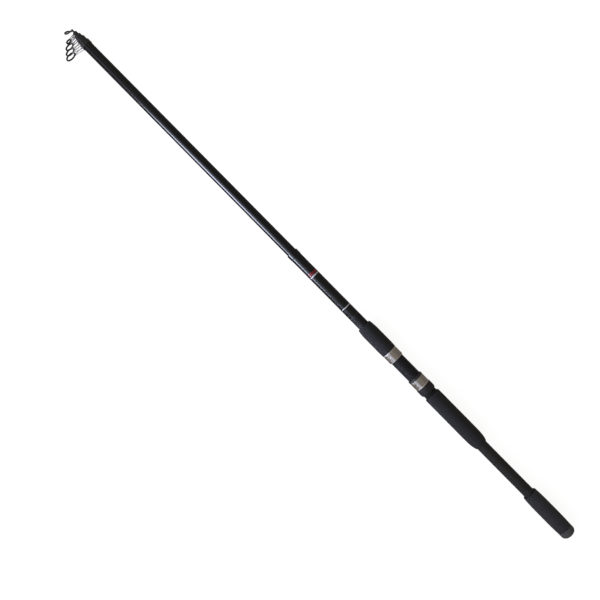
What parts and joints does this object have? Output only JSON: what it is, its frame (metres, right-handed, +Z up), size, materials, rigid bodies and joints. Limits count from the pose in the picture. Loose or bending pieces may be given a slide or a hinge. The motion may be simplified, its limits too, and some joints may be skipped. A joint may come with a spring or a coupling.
{
  "type": "telescopic fishing rod",
  "caption": "Telescopic fishing rod: foam grips, a screw-down reel seat with steel hoods, nested tapered blanks and wire ring guides, shown with its thickest inner blank drawn out.",
  "frame": {"origin": "centre of the butt cap's flat end face, on the rod's axis", "axes": "+X along the rod to its tip, +Z up with the rod lying on its reel hoods and its largest guide ring, the guides toward +Y and the reel foot toward -Z"},
  "size_m": [1.3532, 0.0645, 0.035],
  "materials": {
    "butt_blank": "clear lacquer over dark glass fibre",
    "mouth_winding": "clear lacquer over dark glass fibre",
    "fore_grip": "matte closed-cell foam",
    "reel_seat_body": "satin moulded",
    "fixed_hood_shell": "fine turned grain",
    "rear_grip": "matte closed-cell foam",
    "butt_grip": "matte closed-cell foam",
    "butt_bush": "satin moulded",
    "butt_cap": "matte rubber",
    "cap_spigot": "satin moulded",
    "sliding_hood_shell": "fine turned grain",
    "sliding_hood_core": "satin moulded",
    "lock_nut": "satin moulded",
    "section_5": "clear lacquer over dark glass fibre",
    "guide_5_frame": "dark coated wire",
    "guide_5_ring": "polished ceramic",
    "section_4": "clear lacquer over dark glass fibre",
    "guide_4_frame": "dark coated wire",
    "guide_4_ring": "polished ceramic",
    "section_3": "clear lacquer over dark glass fibre",
    "guide_3_frame": "dark coated wire",
    "guide_3_ring": "polished ceramic",
    "section_2": "clear lacquer over dark glass fibre",
    "guide_2_frame": "dark coated wire",
    "guide_2_ring": "polished ceramic",
    "tip_section": "clear lacquer over dark glass fibre",
    "tip_bead": "clear lacquer over dark glass fibre",
    "tip_top_frame": "dark coated wire",
    "tip_top_ring": "polished ceramic"
  },
  "bodies": {
    "butt": {"butt_blank": "butt_blank", "mouth_winding": "mouth_winding", "fore_grip": "fore_grip", "reel_seat_body": "reel_seat_body", "fixed_hood_shell": "fixed_hood_shell", "rear_grip": "rear_grip", "butt_grip": "butt_grip", "butt_bush": "butt_bush"},
    "end_cap": {"butt_cap": "butt_cap", "cap_spigot": "cap_spigot"},
    "sliding_hood": {"sliding_hood_shell": "sliding_hood_shell", "sliding_hood_core": "sliding_hood_core"},
    "lock_nut": {"lock_nut": "lock_nut"},
    "section_5": {"section_5": "section_5", "guide_5_frame": "guide_5_frame", "guide_5_ring": "guide_5_ring"},
    "section_4": {"section_4": "section_4", "guide_4_frame": "guide_4_frame", "guide_4_ring": "guide_4_ring"},
    "section_3": {"section_3": "section_3", "guide_3_frame": "guide_3_frame", "guide_3_ring": "guide_3_ring"},
    "section_2": {"section_2": "section_2", "guide_2_frame": "guide_2_frame", "guide_2_ring": "guide_2_ring"},
    "tip": {"tip_section": "tip_section", "tip_bead": "tip_bead", "tip_top_frame": "tip_top_frame", "tip_top_ring": "tip_top_ring"}
  },
  "joints": [
    {"name": "cap_slide", "type": "slide", "parent": "butt", "child": "end_cap", "axis": [-1, 0, 0], "range_m": [0, 0.03]},
    {"name": "hood_slide", "type": "slide", "parent": "butt", "child": "sliding_hood", "axis": [1, 0, 0], "range_m": [-0.00751, 0.02501]},
    {"name": "nut_spin", "type": "hinge", "parent": "sliding_hood", "child": "lock_nut", "pos_m": [0.3895, 0, 0], "axis": [1, 0, 0], "range_deg": [-1080, 3600]},
    {"name": "section_5_slide", "type": "slide", "parent": "butt", "child": "section_5", "axis": [1, 0, 0], "range_m": [-0.5514, 0]},
    {"name": "section_4_slide", "type": "slide", "parent": "section_5", "child": "section_4", "axis": [1, 0, 0], "range_m": [0, 0.5604]},
    {"name": "section_3_slide", "type": "slide", "parent": "section_4", "child": "section_3", "axis": [1, 0, 0], "range_m": [0, 0.563]},
    {"name": "section_2_slide", "type": "slide", "parent": "section_3", "child": "section_2", "axis": [1, 0, 0], "range_m": [0, 0.5632]},
    {"name": "tip_slide", "type": "slide", "parent": "section_2", "child": "tip", "axis": [1, 0, 0], "range_m": [0, 0.5637]}
  ],
  "couplings": [
    {"joint": "hood_slide", "follows": "nut_spin", "m_per_rad": 0.00039789}
  ]
}
